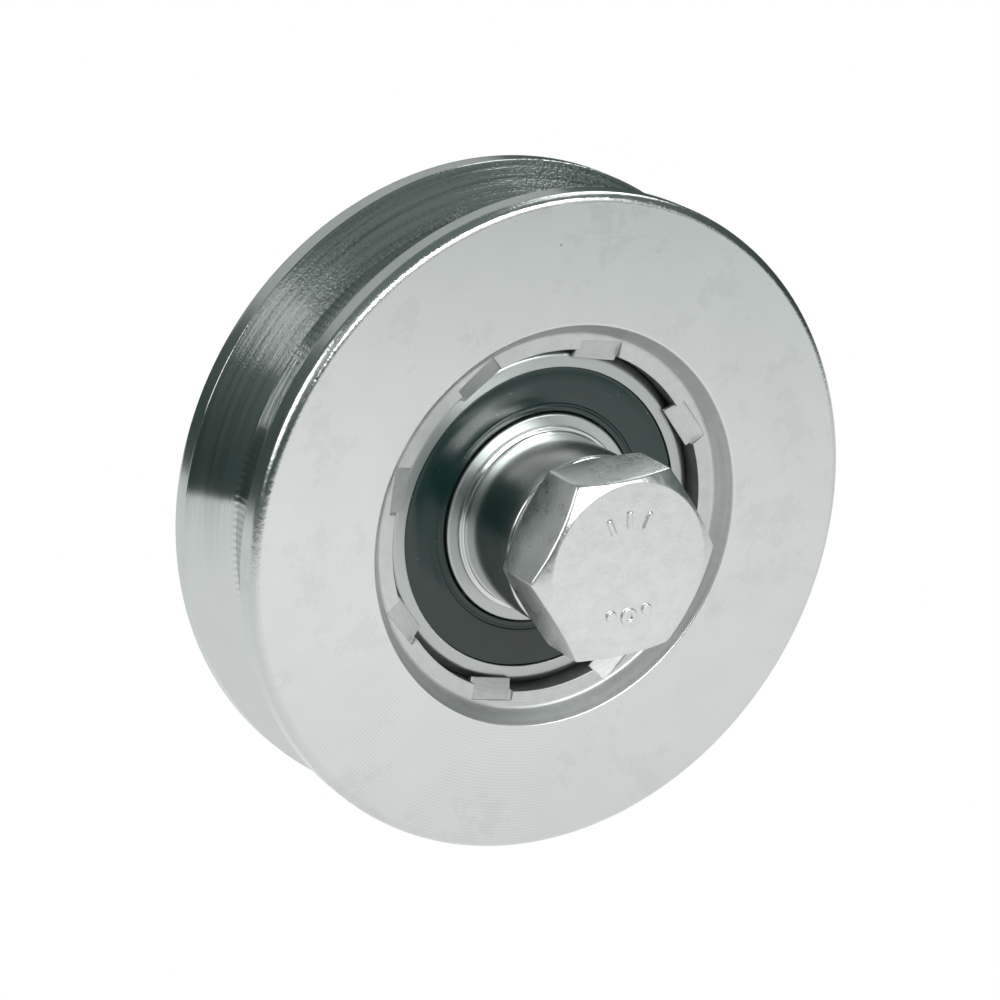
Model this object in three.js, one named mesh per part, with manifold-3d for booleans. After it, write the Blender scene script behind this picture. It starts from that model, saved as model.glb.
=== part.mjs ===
// Gate wheel: a grooved steel wheel on one sealed ball bearing, with its axle bolt, bushes and nut.
// Millimetres, +Z up. The origin is the wheel's centre and the axle runs along Y, with the bolt
// head at -Y. Every turned piece is a profile of [radius, y] points revolved about Y.
import * as THREE from 'three';
import { mergeVertices } from 'three/addons/utils/BufferGeometryUtils.js';
import Module from 'manifold-3d';

// ---- Driving dimensions ----

// Wheel
const WHEEL_OD = 90;
const WHEEL_WIDTH = 23;
const EDGE_ROUND = 1;
const FLANGE_LAND = 3.5;
const GROOVE_DEPTH = 5;
const GROOVE_ANGLE = 90;
const SEAT_RIM = 2.3;
const SEAT_OVERRUN = 2;
const RECESS_FLARE = 1.7;
const SHOULDER_HEIGHT = 1.9;

// Stakes that lock the bearing in its seat
const STAKE_COUNT = 8;
const STAKE_FIRST_ANGLE = 25;
const STAKE_WIDTH = 6.4;
const STAKE_MARGIN = 0.3;
const STAKE_REACH = 1;
const STAKE_TOE_HEIGHT = 0.95;
const STAKE_THICKNESS = 0.6;

// Deep-groove ball bearing
const BEARING_OD = 47;
const BEARING_BORE = 20;
const BEARING_WIDTH = 14;
const RING_CHAMFER = 1.1;
const RING_EDGE_BREAK = 0.3;
const BALL_COUNT = 8;
const BALL_DIAMETER = 7.938;
const OUTER_RACE_DEPTH = 1.2;
const INNER_RACE_DEPTH = 1.7;
const SEAL_SEAT_STEP = 1;
const SEAL_SEAT_DEPTH = 1.8;

// Seals
const SEAL_SET_BACK = 0.25;
const SEAL_THICKNESS = 0.85;
const SEAL_LIP_WIDTH = 1.1;
const SEAL_LIP_STEP = 0.3;
const INSERT_THICKNESS = 0.4;
const INSERT_EDGE = 0.9;

// Cage
const CAGE_SHEET = 0.7;
const CAGE_BAND = 4.2;
const RIVET_SHANK = 1.2;
const RIVET_HEAD_OD = 2.2;
const RIVET_HEAD_HEIGHT = 0.5;

// Axle bolt, bushes, washer and nut
const BOLT_DIAMETER = 16;
const BOLT_LENGTH = 60;
const THREAD_PITCH = 2;
const THREAD_LENGTH = 38;
const THREAD_DEPTH = 1.1;
const HEX_ACROSS_FLATS = 24;
const HEAD_HEIGHT = 10;
const HEX_FACE_SHARE = 0.955;
const HEX_CHAMFER_ANGLE = 30;
const NUT_HEIGHT = 13;
const BUSH_OD = 24.2;
const BUSH_LENGTH = 11.7;
const BUSH_FOOT_PROUD = 0.65;
const BUSH_FOOT_HEIGHT = 0.4;
const BUSH_EDGE_BREAK = 0.4;
const WASHER_OD = 30;
const WASHER_THICKNESS = 3;
const PLATE_SPACE = 5;

// Clearances between pieces
const SEAT_GAP = 0.03;
const FACE_GAP = 0.05;
const RACE_GAP = 0.16;
const LIP_GAP = 0.15;
const POCKET_GAP = 0.15;
const RIVET_GAP = 0.25;
const CAGE_SIDE_GAP = 0.3;
const BORE_GAP = 0.3;

// Facets round a full turn
const WHEEL_FACETS = 96;
const RING_FACETS = 48;
const BOLT_FACETS = 24;
const SMALL_FACETS = 8;
const BALL_FACETS = 12;
const POCKET_FACETS = 8;
const ARC_STEPS = 4;

// ---- Finishes ----

const FINISHES = {
  zinc: { color: 0xc9cecb, metalness: 0.9, roughness: 0.32 },
  dullZinc: { color: 0xb4b9b6, metalness: 0.85, roughness: 0.45 },
  bearingSteel: { color: 0xb9bdbb, metalness: 0.95, roughness: 0.25 },
  ball: { color: 0xd8dbda, metalness: 1, roughness: 0.08 },
  sheetSteel: { color: 0xa9adab, metalness: 0.9, roughness: 0.4 },
  rubber: { color: 0x3c4b48, metalness: 0, roughness: 0.55 },
};

// ---- Helpers ----

const wasm = await Module();
wasm.setup();

const radians = (degrees) => (degrees * Math.PI) / 180;
const half = (length) => length / 2;

/** Points along an arc of a profile, both ends included. */
function arc(centreR, centreY, radius, fromDegrees, toDegrees, steps = ARC_STEPS) {
  return Array.from({ length: steps + 1 }, (_, i) => {
    const angle = radians(fromDegrees + ((toDegrees - fromDegrees) * i) / steps);
    return [centreR + radius * Math.cos(angle), centreY + radius * Math.sin(angle)];
  });
}

/** Twice the area that a closed profile encloses, positive when it runs anticlockwise. */
function windingOf(profile) {
  return profile.reduce((sum, [r, y], i) => {
    const [nextR, nextY] = profile[(i + 1) % profile.length];
    return sum + r * nextY - nextR * y;
  }, 0);
}

/** A solid of revolution about Y. A profile that leaves the axis is closed on itself. */
function turned(profile, facets) {
  const outward = windingOf(profile) > 0 ? profile : [...profile].reverse();
  const onAxis = outward.some(([r]) => r === 0);
  const loop = onAxis ? fromAxisToAxis(outward) : [...outward, outward[0]];
  return new THREE.LatheGeometry(loop.map(([r, y]) => new THREE.Vector2(r, y)), facets);
}

/** Reorders a closed profile so that it starts and ends with its points on the axis. */
function fromAxisToAxis(profile) {
  const count = profile.length;
  const start = profile.findIndex(([r], i) => r === 0 && profile[(i + 1) % count][0] > 0);
  return Array.from({ length: count }, (_, i) => profile[(start + i) % count]);
}

/** A profile mirrored to the other end of the axle. */
const mirrored = (profile) => profile.map(([r, y]) => [r, -y]);

/** The manifold solid of a closed geometry. */
function solidOf(geometry) {
  const bare = geometry.clone();
  bare.deleteAttribute('normal');
  bare.deleteAttribute('uv');
  const merged = mergeVertices(bare, 1e-4);
  return new wasm.Manifold(new wasm.Mesh({
    numProp: 3,
    vertProperties: new Float32Array(merged.attributes.position.array),
    triVerts: new Uint32Array(merged.index.array),
  }));
}

/** The geometry of a manifold solid. */
function geometryOf(solid) {
  const { vertProperties, triVerts } = solid.getMesh();
  const geometry = new THREE.BufferGeometry();
  geometry.setAttribute('position', new THREE.BufferAttribute(vertProperties, 3));
  geometry.setIndex(new THREE.BufferAttribute(triVerts, 1));
  geometry.computeVertexNormals();
  return geometry;
}

/** A named mesh with its own material. */
function piece(name, geometry, finish) {
  const mesh = new THREE.Mesh(geometry, new THREE.MeshStandardMaterial(FINISHES[finish]));
  mesh.name = name;
  return mesh;
}

/** Calls make(angle, number) for each of count places round the axle. */
function around(count, firstAngle, make) {
  return Array.from({ length: count }, (_, i) => make(firstAngle + (360 * i) / count, i + 1));
}

/** A copy of a geometry turned about the axle, from +X towards +Z. */
const turnedTo = (geometry, degrees) => geometry.clone().rotateY(-radians(degrees));

// ---- Sizes that follow from the driving ones ----

const faceY = half(WHEEL_WIDTH);
const ringFaceY = half(BEARING_WIDTH);
const seatRadius = half(BEARING_OD) + SEAT_GAP;
const recessFloorRadius = seatRadius + SEAT_RIM;
const recessFloorY = ringFaceY + SEAT_OVERRUN;
const ballRadius = half(BALL_DIAMETER);
const pitchRadius = half(half(BEARING_OD + BEARING_BORE));
const raceRadius = ballRadius + RACE_GAP;
const outerShoulderRadius = pitchRadius + raceRadius - OUTER_RACE_DEPTH;
const innerShoulderRadius = pitchRadius - raceRadius + INNER_RACE_DEPTH;
const sealSeatRadius = outerShoulderRadius + SEAL_SEAT_STEP;
const sealFaceY = ringFaceY - SEAL_SET_BACK;
const insertFaceY = sealFaceY - SEAL_THICKNESS - FACE_GAP;
const insertBackY = insertFaceY - INSERT_THICKNESS;
const bushInnerY = ringFaceY + FACE_GAP;
const bushOuterY = bushInnerY + BUSH_LENGTH;
const boltSeatY = bushOuterY + FACE_GAP;
const bushBoreRadius = half(BOLT_DIAMETER) + BORE_GAP;
const washerInnerY = bushOuterY + PLATE_SPACE;
const washerOuterY = washerInnerY + WASHER_THICKNESS;
const nutSeatY = washerOuterY + FACE_GAP;
const hexCornerRadius = half(HEX_ACROSS_FLATS) / Math.cos(radians(30));

// ---- Wheel body ----

/** Half of the grooved rim, from the middle of the groove to the edge of the +Y face. */
function rimHalf() {
  const rimRadius = half(WHEEL_OD);
  const grooveMouthY = faceY - FLANGE_LAND;
  const flankRun = GROOVE_DEPTH * Math.tan(radians(half(GROOVE_ANGLE)));
  const edge = arc(rimRadius - EDGE_ROUND, faceY - EDGE_ROUND, EDGE_ROUND, 0, 90, 3);
  return [
    [rimRadius - GROOVE_DEPTH, grooveMouthY - flankRun],
    [rimRadius, grooveMouthY],
    ...edge,
  ];
}

/** The flared wall of the recess in the +Y face, down to the recess floor round the bearing seat. */
function recessHalf() {
  return [
    [recessFloorRadius + RECESS_FLARE, faceY],
    [recessFloorRadius, recessFloorY],
  ];
}

/** The whole turned blank, with its bearing shoulder at +Y. */
function wheelBlank() {
  const shoulderRadius = half(BEARING_OD) - SHOULDER_HEIGHT;
  const shoulderY = ringFaceY + FACE_GAP;
  const profile = [
    ...mirrored([...rimHalf(), ...recessHalf()]).reverse(),
    ...rimHalf(),
    ...recessHalf(),
    [shoulderRadius, recessFloorY],
    [shoulderRadius, shoulderY],
    [seatRadius, shoulderY],
    [seatRadius, -recessFloorY],
  ];
  return turned(profile, WHEEL_FACETS);
}

/**
 * A block with one face on the ramp that a stake's punch leaves, from its toe over the bearing's
 * outer ring up to the recess floor. A positive height stands above the ramp, a negative one below.
 */
function onStakeRamp(angle, length, height, width) {
  const toe = [seatRadius - STAKE_REACH, -(ringFaceY + STAKE_TOE_HEIGHT)];
  const top = [recessFloorRadius - STAKE_MARGIN, -recessFloorY];
  const slope = Math.atan2(top[1] - toe[1], top[0] - toe[0]);
  const block = new THREE.BoxGeometry(length, Math.abs(height), width);
  block.translate(half(length), -half(height), 0).rotateZ(slope).translate(toe[0], toe[1], 0);
  return solidOf(turnedTo(block, angle));
}

/** The material that one stake's punch drives down. */
function stakeMark(angle) {
  const rampRun = STAKE_REACH + SEAT_RIM - STAKE_MARGIN;
  const rampRise = SEAT_OVERRUN - STAKE_TOE_HEIGHT;
  return onStakeRamp(angle, Math.hypot(rampRun, rampRise), SEAT_OVERRUN, STAKE_WIDTH);
}

/** The tongue that one stake pushes over the bearing's outer ring. */
function stakeTongue(angle) {
  const width = STAKE_WIDTH - 2 * BORE_GAP;
  return onStakeRamp(angle, 2 * STAKE_REACH, -STAKE_THICKNESS, width);
}

function wheelBody() {
  const marks = around(STAKE_COUNT, STAKE_FIRST_ANGLE, stakeMark);
  const tongues = around(STAKE_COUNT, STAKE_FIRST_ANGLE, stakeTongue);
  const marked = marks.reduce((body, mark) => body.subtract(mark), solidOf(wheelBlank()));
  const staked = tongues.reduce((body, tongue) => body.add(tongue), marked);
  return piece('wheel_body', geometryOf(staked), 'zinc');
}

// ---- Bearing ----

/** Half the angle of the raceway arc that a shoulder of the given radius leaves. */
function raceHalfAngle(shoulderRadius) {
  const reach = Math.abs(shoulderRadius - pitchRadius);
  return (Math.acos(reach / raceRadius) * 180) / Math.PI;
}

function outerRing() {
  const rim = half(BEARING_OD);
  const shoulder = outerShoulderRadius;
  const seat = sealSeatRadius;
  const stepY = ringFaceY - SEAL_SEAT_DEPTH;
  const spread = raceHalfAngle(shoulder);
  const profile = [
    [seat, -ringFaceY],
    [rim - RING_CHAMFER, -ringFaceY],
    [rim, -ringFaceY + RING_CHAMFER],
    [rim, ringFaceY - RING_CHAMFER],
    [rim - RING_CHAMFER, ringFaceY],
    [seat, ringFaceY],
    [seat, stepY],
    [shoulder, stepY],
    ...arc(pitchRadius, 0, raceRadius, spread, -spread),
    [shoulder, -stepY],
    [seat, -stepY],
  ];
  return piece('bearing_outer_ring', turned(profile, RING_FACETS), 'bearingSteel');
}

function innerRing() {
  const bore = half(BEARING_BORE);
  const shoulder = innerShoulderRadius;
  const spread = raceHalfAngle(shoulder);
  const profile = [
    [bore + RING_CHAMFER, -ringFaceY],
    [shoulder - RING_EDGE_BREAK, -ringFaceY],
    [shoulder, -ringFaceY + RING_EDGE_BREAK],
    ...arc(pitchRadius, 0, raceRadius, 180 + spread, 180 - spread),
    [shoulder, ringFaceY - RING_EDGE_BREAK],
    [shoulder - RING_EDGE_BREAK, ringFaceY],
    [bore + RING_CHAMFER, ringFaceY],
    [bore, ringFaceY - RING_CHAMFER],
    [bore, -ringFaceY + RING_CHAMFER],
  ];
  return piece('bearing_inner_ring', turned(profile, RING_FACETS), 'bearingSteel');
}

function balls() {
  const ballGeometry = new THREE.SphereGeometry(ballRadius, BALL_FACETS, 8);
  return around(BALL_COUNT, 0, (angle, number) => {
    const ball = piece(`ball_${number}`, ballGeometry, 'ball');
    ball.position.set(pitchRadius, 0, 0).applyAxisAngle(new THREE.Vector3(0, 1, 0), -radians(angle));
    return ball;
  });
}

/** A ball-shaped solid at one ball's place. */
function ballPlace(radius, angle) {
  const sphere = new THREE.SphereGeometry(radius, POCKET_FACETS, 6).translate(pitchRadius, 0, 0);
  return solidOf(turnedTo(sphere, angle));
}

/** The hole for one rivet's shank, with room round its head on the +Y side. */
function rivetPlace(angle) {
  const shankRadius = half(RIVET_SHANK) + RIVET_GAP;
  const headRadius = half(RIVET_HEAD_OD) + RIVET_GAP;
  const hole = turned([
    [0, -CAGE_SHEET],
    [shankRadius, -CAGE_SHEET],
    [shankRadius, CAGE_SHEET],
    [headRadius, CAGE_SHEET],
    [headRadius, ringFaceY],
    [0, ringFaceY],
  ], SMALL_FACETS);
  return solidOf(turnedTo(hole.translate(pitchRadius, 0, 0), angle));
}

/** Both halves of the riveted ribbon cage: a flat ring with a domed pocket over each ball. */
function cageHalves() {
  const inner = pitchRadius - half(CAGE_BAND);
  const outer = pitchRadius + half(CAGE_BAND);
  const pocketRadius = (ballRadius + POCKET_GAP) / Math.cos(Math.PI / POCKET_FACETS);
  const partingY = half(BORE_GAP);
  const topY = insertBackY - CAGE_SIDE_GAP;
  const ring = (height) => solidOf(turned(
    [[inner, partingY], [outer, partingY], [outer, height], [inner, height]], RING_FACETS));
  const band = ring(topY);
  const domes = around(
    BALL_COUNT, 0, (angle) => ballPlace(pocketRadius + CAGE_SHEET, angle).intersect(band));
  const pockets = around(BALL_COUNT, 0, (angle) => ballPlace(pocketRadius, angle));
  const holes = around(BALL_COUNT, half(360 / BALL_COUNT), rivetPlace);
  const domed = domes.reduce((cage, dome) => cage.add(dome), ring(CAGE_SHEET));
  const rear = geometryOf(
    [...pockets, ...holes].reduce((cage, cutter) => cage.subtract(cutter), domed));
  const front = rear.clone().rotateX(Math.PI);
  return [piece('cage_front', front, 'sheetSteel'), piece('cage_rear', rear, 'sheetSteel')];
}

function cageRivets() {
  const shank = half(RIVET_SHANK);
  const head = half(RIVET_HEAD_OD);
  const seatY = CAGE_SHEET + FACE_GAP;
  const topY = seatY + RIVET_HEAD_HEIGHT;
  const profile = [
    [0, -topY], [half(head), -topY], [head, -seatY], [shank, -seatY],
    [shank, seatY], [head, seatY], [half(head), topY], [0, topY],
  ];
  return around(BALL_COUNT, half(360 / BALL_COUNT), (angle, number) => {
    const rivet = turned(profile, SMALL_FACETS).translate(pitchRadius, 0, 0);
    return piece(`cage_rivet_${number}`, turnedTo(rivet, angle), 'sheetSteel');
  });
}

// ---- Seals ----

/** The rubber of one seal, lying in the seat of the outer ring at +Y. */
function sealProfile() {
  const outer = sealSeatRadius - FACE_GAP;
  const lip = innerShoulderRadius + LIP_GAP;
  const step = lip + SEAL_LIP_WIDTH;
  const backY = sealFaceY - SEAL_THICKNESS;
  const lipY = sealFaceY - SEAL_LIP_STEP;
  return [
    [outer, backY], [outer, sealFaceY], [step, sealFaceY], [step, lipY], [lip, lipY], [lip, backY],
  ];
}

/** The steel ring that stiffens one seal, behind its rubber. */
function insertProfile() {
  const outer = outerShoulderRadius - INSERT_EDGE;
  const inner = innerShoulderRadius + INSERT_EDGE;
  return [
    [inner, insertBackY], [outer, insertBackY], [outer, insertFaceY], [inner, insertFaceY],
  ];
}

function seals() {
  const rubber = sealProfile();
  const insert = insertProfile();
  return [
    piece('seal_front', turned(mirrored(rubber), RING_FACETS), 'rubber'),
    piece('seal_front_insert', turned(mirrored(insert), RING_FACETS), 'sheetSteel'),
    piece('seal_rear', turned(rubber, RING_FACETS), 'rubber'),
    piece('seal_rear_insert', turned(insert, RING_FACETS), 'sheetSteel'),
  ];
}

// ---- Axle ----

/** A hexagonal block from y = 0 to y = height, chamfered at both ends. */
function hexBlock(height) {
  const corners = Array.from({ length: 6 }, (_, i) => new THREE.Vector2(
    hexCornerRadius * Math.cos(radians(60 * i)), hexCornerRadius * Math.sin(radians(60 * i))));
  const prism = new THREE.ExtrudeGeometry(
    new THREE.Shape(corners), { depth: height, bevelEnabled: false }).rotateX(-Math.PI / 2);
  const face = HEX_FACE_SHARE * half(HEX_ACROSS_FLATS);
  const rim = hexCornerRadius + BORE_GAP;
  const drop = (rim - face) * Math.tan(radians(HEX_CHAMFER_ANGLE));
  const envelope = [
    [0, 0], [face, 0], [rim, drop], [rim, height - drop], [face, height], [0, height],
  ];
  return solidOf(prism).intersect(solidOf(turned(envelope, 2 * BOLT_FACETS)));
}

/** Ridges of the bolt's thread, from its first full turn to its tip. */
function threadProfile(startY, endY) {
  const crest = half(BOLT_DIAMETER);
  const root = crest - THREAD_DEPTH;
  const turns = Math.floor((endY - startY) / THREAD_PITCH) - 1;
  return Array.from({ length: turns }, (_, i) => [
    [crest, startY + THREAD_PITCH * i],
    [root, startY + THREAD_PITCH * (i + 0.5)],
  ]).flat();
}

function axleBolt() {
  const tipY = -boltSeatY + BOLT_LENGTH;
  const threadY = tipY - THREAD_LENGTH;
  const radius = half(BOLT_DIAMETER);
  const sunkY = -boltSeatY - half(HEAD_HEIGHT);
  const ridges = threadProfile(threadY, tipY);
  const lastCrestY = threadY + half(ridges.length) * THREAD_PITCH;
  const shank = turned([
    [0, sunkY],
    [radius, sunkY],
    ...ridges,
    [radius, lastCrestY],
    [radius - THREAD_DEPTH, tipY],
    [0, tipY],
  ], BOLT_FACETS);
  const head = hexBlock(HEAD_HEIGHT).translate([0, -boltSeatY - HEAD_HEIGHT, 0]);
  return piece('axle_bolt', geometryOf(head.add(solidOf(shank))), 'dullZinc');
}

/** A stepped bush: its spigot fills half of the inner ring and its body stands off the ring. */
function bushProfile() {
  const bore = bushBoreRadius;
  const spigot = half(BEARING_BORE) - SEAT_GAP;
  const body = half(BUSH_OD);
  const foot = body + BUSH_FOOT_PROUD;
  return [
    [bore, BORE_GAP],
    [spigot, BORE_GAP],
    [spigot, bushInnerY],
    [foot, bushInnerY],
    [foot, bushInnerY + BUSH_FOOT_HEIGHT],
    [body, bushInnerY + BUSH_FOOT_HEIGHT],
    [body, bushOuterY - BUSH_EDGE_BREAK],
    [body - BUSH_EDGE_BREAK, bushOuterY],
    [bore, bushOuterY],
  ];
}

function bushes() {
  const profile = bushProfile();
  return [
    piece('bush_front', turned(mirrored(profile), BOLT_FACETS), 'zinc'),
    piece('bush_rear', turned(profile, BOLT_FACETS), 'zinc'),
  ];
}

/** The washer, standing off the rear bush by the room for the gate's plate. */
function washer() {
  const profile = [
    [bushBoreRadius, washerInnerY],
    [half(WASHER_OD), washerInnerY],
    [half(WASHER_OD), washerOuterY],
    [bushBoreRadius, washerOuterY],
  ];
  return piece('washer', turned(profile, BOLT_FACETS), 'zinc');
}

function nut() {
  const bore = new THREE.CylinderGeometry(
    bushBoreRadius, bushBoreRadius, 3 * NUT_HEIGHT, BOLT_FACETS);
  const block = hexBlock(NUT_HEIGHT).subtract(solidOf(bore)).translate([0, nutSeatY, 0]);
  return piece('nut', geometryOf(block), 'dullZinc');
}

// ---- Assembly ----

/** A group of the given pieces. */
function assembly(...pieces) {
  const group = new THREE.Group();
  group.add(...pieces.flat());
  return group;
}

const axle = assembly(axleBolt(), bushes(), washer(), nut(), innerRing());
const wheel = assembly(wheelBody(), outerRing(), seals());
const ballTrain = assembly(balls(), cageHalves(), cageRivets());

export default assembly(axle, wheel, ballTrain);
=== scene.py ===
"""Looks for a gate wheel: a grooved steel wheel on one sealed ball bearing, with its axle bolt.

Everything is in metres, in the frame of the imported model: the axle runs along Y with the bolt head
at -Y, +Z is up and the origin is the wheel's centre.
"""

import logging
import math
import random
from dataclasses import dataclass, field
from enum import Enum
from typing import Callable, Iterable, Mapping, Optional, Sequence, Union

import bmesh
import bpy
from mathutils import Matrix, Vector


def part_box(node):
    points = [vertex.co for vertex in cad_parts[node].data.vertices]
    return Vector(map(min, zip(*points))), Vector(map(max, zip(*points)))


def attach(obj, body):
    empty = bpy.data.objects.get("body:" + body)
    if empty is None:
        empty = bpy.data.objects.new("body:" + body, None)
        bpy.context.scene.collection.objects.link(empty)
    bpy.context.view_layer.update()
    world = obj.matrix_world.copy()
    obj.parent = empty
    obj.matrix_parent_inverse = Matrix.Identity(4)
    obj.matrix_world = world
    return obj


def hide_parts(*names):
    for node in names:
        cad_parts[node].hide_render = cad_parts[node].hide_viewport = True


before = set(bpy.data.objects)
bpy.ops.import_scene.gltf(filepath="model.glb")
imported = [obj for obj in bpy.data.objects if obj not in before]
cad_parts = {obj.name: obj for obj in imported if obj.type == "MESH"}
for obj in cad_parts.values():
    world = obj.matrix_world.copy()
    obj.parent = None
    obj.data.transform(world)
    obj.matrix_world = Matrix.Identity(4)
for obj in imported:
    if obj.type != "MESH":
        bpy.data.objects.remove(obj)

LOG = logging.getLogger("gate_wheel")
MM = 0.001
FULL_TURN = 2 * math.pi
AXLE = Vector((0.0, 1.0, 0.0))
BLACK = (0.0, 0.0, 0.0)
WHITE = (1.0, 1.0, 1.0)
MERGE = 0.001 * MM
HOLD = 0.12 * MM
SMOOTH_BELOW = math.radians(16)


class Side(Enum):
    """The two ends of the axle."""

    HEAD = -1
    NUT = 1


# ---- Shaders ----------------------------------------------------------------------------------


class Wire:
    """A number that varies over a surface. Sums on it add the nodes that work them out."""

    def __init__(self, board: "Board", socket: bpy.types.NodeSocket) -> None:
        """Wraps one output socket.

        Args:
            board: The node tree that the socket belongs to.
            socket: The output socket.
        """
        self.board = board
        self.socket = socket

    def math(self, operation: str, *others: "Number") -> "Wire":
        """The result of a Math node with this wire as its first value.

        Args:
            operation: The Math node's operation.
            others: Its second and third values.

        Returns:
            The node's result.
        """
        return self.board.math(operation, self, *others)

    def __add__(self, other: "Number") -> "Wire":
        """The sum with another value."""
        return self.math("ADD", other)

    __radd__ = __add__

    def __sub__(self, other: "Number") -> "Wire":
        """This value less another."""
        return self.math("SUBTRACT", other)

    def __rsub__(self, other: "Number") -> "Wire":
        """Another value less this one."""
        return self.board.math("SUBTRACT", other, self)

    def __mul__(self, other: "Number") -> "Wire":
        """The product with another value."""
        return self.math("MULTIPLY", other)

    __rmul__ = __mul__

    def __truediv__(self, other: "Number") -> "Wire":
        """This value over another."""
        return self.math("DIVIDE", other)

    def __pow__(self, other: "Number") -> "Wire":
        """This value to a power."""
        return self.math("POWER", other)

    def above(self, low: float, high: float) -> "Wire":
        """A smooth mask that rises from 0 at low to 1 at high.

        Args:
            low: Where the mask starts to rise.
            high: Where it is full. It may lie below low, and the mask then falls.

        Returns:
            The mask, from 0 to 1.
        """
        settings = {"interpolation_type": "SMOOTHSTEP", "clamp": True}
        if high > low:
            sockets = {"Value": self, "From Min": low, "From Max": high}
            return self.board.add("ShaderNodeMapRange", settings, sockets)
        sockets = {"Value": self, "From Min": high, "From Max": low}
        return 1 - self.board.add("ShaderNodeMapRange", settings, sockets)


Number = Union[float, Wire]
Colour = Union[Wire, Sequence[float]]


class Board:
    """A material's or a world's node tree, with the few calls that the finishes are written in."""

    def __init__(self, owner: Union[bpy.types.Material, bpy.types.World]) -> None:
        """Empties a node tree.

        Args:
            owner: The material or world that the tree belongs to.
        """
        self.owner = owner
        owner.use_nodes = True
        self.tree = owner.node_tree
        self.tree.nodes.clear()

    @classmethod
    def of_material(cls, name: str) -> "Board":
        """The board of a new material."""
        return cls(bpy.data.materials.new(name))

    def add(
        self, kind: str, settings: Mapping[str, object], sockets: Mapping[str, object], out: str = ""
    ) -> Wire:
        """Adds a node.

        Args:
            kind: The node's type.
            settings: Its settings, which are set first.
            sockets: The values or links of its sockets, by name or identifier.
            out: The output to return, or nothing for the first one.

        Returns:
            The chosen output.
        """
        node = self.tree.nodes.new(kind)
        for name, value in settings.items():
            setattr(node, name, value)
        for name, value in sockets.items():
            self.feed(self.find(node.inputs, name), value)
        outputs = node.outputs
        return Wire(self, self.find(outputs, out) if out else next(iter(outputs), None))

    @staticmethod
    def find(sockets: Iterable[bpy.types.NodeSocket], name: str) -> bpy.types.NodeSocket:
        """The socket with this identifier, or else with this name."""
        by_identifier = [s for s in sockets if s.identifier == name]
        return (by_identifier or [s for s in sockets if s.name == name])[0]

    def feed(self, socket: bpy.types.NodeSocket, value: object) -> None:
        """Links a wire to a socket, or sets its constant.

        Args:
            socket: The input socket.
            value: A wire, a number or a colour.
        """
        if isinstance(value, Wire):
            self.tree.links.new(value.socket, socket)
        elif socket.type == "RGBA" and len(value) == 3:
            socket.default_value = (*value, 1.0)
        else:
            socket.default_value = value

    def math(self, operation: str, *values: Number) -> Wire:
        """A Math node.

        Args:
            operation: The node's operation.
            values: Its values, in order.

        Returns:
            The node's result.
        """
        node = self.tree.nodes.new("ShaderNodeMath")
        node.operation = operation
        for socket, value in zip(node.inputs, values):
            self.feed(socket, value)
        return Wire(self, node.outputs[0])

    def place(self, centre: Vector = Vector()) -> tuple[Wire, Wire, Wire]:
        """The place on the piece, in millimetres from a centre.

        Args:
            centre: The pattern's centre, in metres.

        Returns:
            The x, y and z of the place.
        """
        coordinates = self.add("ShaderNodeTexCoord", {}, {}, "Object")
        sockets = {"Vector": coordinates, "Location": tuple(-c / MM for c in centre), "Scale": (1 / MM,) * 3}
        mapped = self.add("ShaderNodeMapping", {}, sockets)
        split = self.add("ShaderNodeSeparateXYZ", {}, {"Vector": mapped}).socket.node
        return tuple(Wire(self, socket) for socket in split.outputs)

    def vector(self, x: Number, y: Number, z: Number) -> Wire:
        """Three values as one vector."""
        return self.add("ShaderNodeCombineXYZ", {}, {"X": x, "Y": y, "Z": z})

    def noise(self, where: Wire, scale: float, detail: float = 2.0, roughness: float = 0.5) -> Wire:
        """Noise from 0 to 1.

        Args:
            where: The place that it is read at, as a vector.
            scale: How many times it varies in a unit.
            detail: How many finer layers it has.
            roughness: How strong they are.

        Returns:
            The noise.
        """
        sockets = {"Vector": where, "Scale": scale, "Detail": detail, "Roughness": roughness}
        return self.add("ShaderNodeTexNoise", {}, sockets)

    def specks(self, where: Wire, scale: float, share: float, size: float) -> Wire:
        """Small round specks, in some of the cells of a grid of random points.

        Args:
            where: The place that they are read at, as a vector.
            scale: How many cells there are in a unit.
            share: The share of the cells that have a speck.
            size: A speck's radius, as a share of a cell.

        Returns:
            A mask that is 1 on the specks.
        """
        sockets = {"Vector": where, "Scale": scale}
        cells = self.add("ShaderNodeTexVoronoi", {}, sockets, "Distance").socket.node
        distance = Wire(self, cells.outputs["Distance"])
        chosen = self.add("ShaderNodeSeparateColor", {}, {"Color": Wire(self, cells.outputs["Color"])})
        return distance.above(size, 0.4 * size) * chosen.math("LESS_THAN", share)

    def blend(self, share: Number, low: "Colour", high: "Colour") -> Wire:
        """A colour between two colours.

        Args:
            share: 0 for the first colour and 1 for the second.
            low: The first colour.
            high: The second colour.

        Returns:
            The mixed colour.
        """
        sockets = {"Factor_Float": share, "A_Color": low, "B_Color": high}
        return self.add("ShaderNodeMix", {"data_type": "RGBA"}, sockets, "Result_Color")

    def bump(self, height: Wire, depth: float, below: Optional[Wire] = None) -> Wire:
        """The normal of a surface that a height raises.

        Args:
            height: The height, in units of depth.
            depth: The depth of one unit, in metres.
            below: A coarser bump that this one lies on.

        Returns:
            The normal.
        """
        sockets: dict[str, object] = {"Height": height, "Distance": depth, "Strength": 1.0}
        if below is not None:
            sockets["Normal"] = below
        return self.add("ShaderNodeBump", {}, sockets)

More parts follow.
